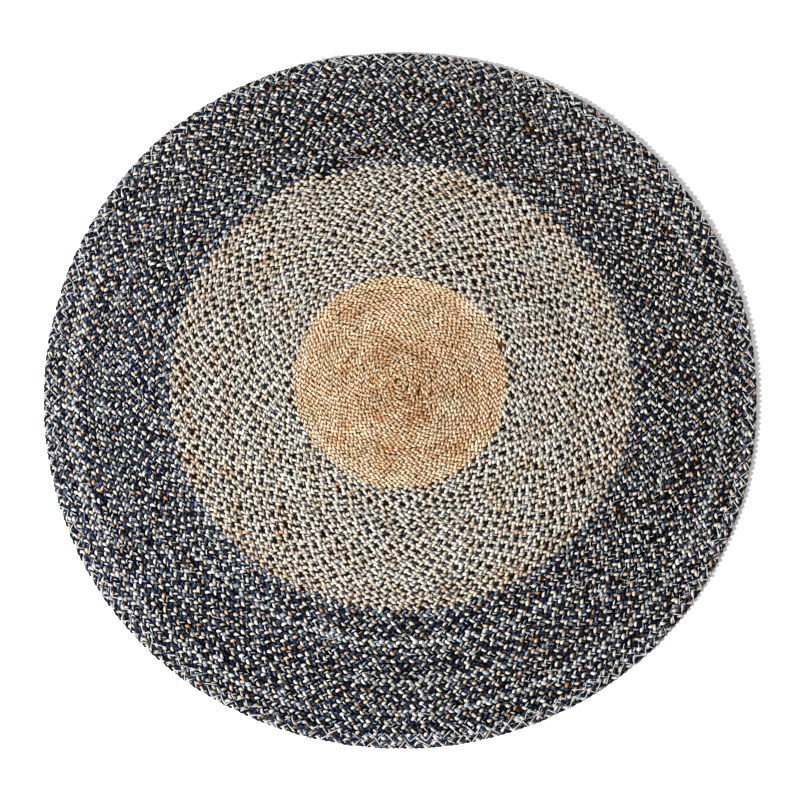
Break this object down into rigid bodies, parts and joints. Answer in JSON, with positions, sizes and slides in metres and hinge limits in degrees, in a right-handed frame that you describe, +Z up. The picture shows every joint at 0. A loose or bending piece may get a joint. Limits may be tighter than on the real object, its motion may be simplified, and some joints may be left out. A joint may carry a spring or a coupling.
{
  "type": "round plaited jute rug",
  "caption": "Flat round rug: one plait of jute yarn coiled from its centre and sewn turn to turn, in natural, mixed and navy bands. Lies flat on a floor.",
  "frame": {"origin": "middle of the rug's outline, on the floor plane", "axes": "+Z up from the floor through the rug's thickness; the outer end of the plait is sewn down near +Y"},
  "size_m": [1.2, 1.1942, 0.008],
  "materials": {
    "plaited_jute": "matte coarse plaited jute yarn, natural and dyed navy"
  },
  "bodies": {
    "root": {"rug": "plaited_jute"}
  },
  "joints": []
}
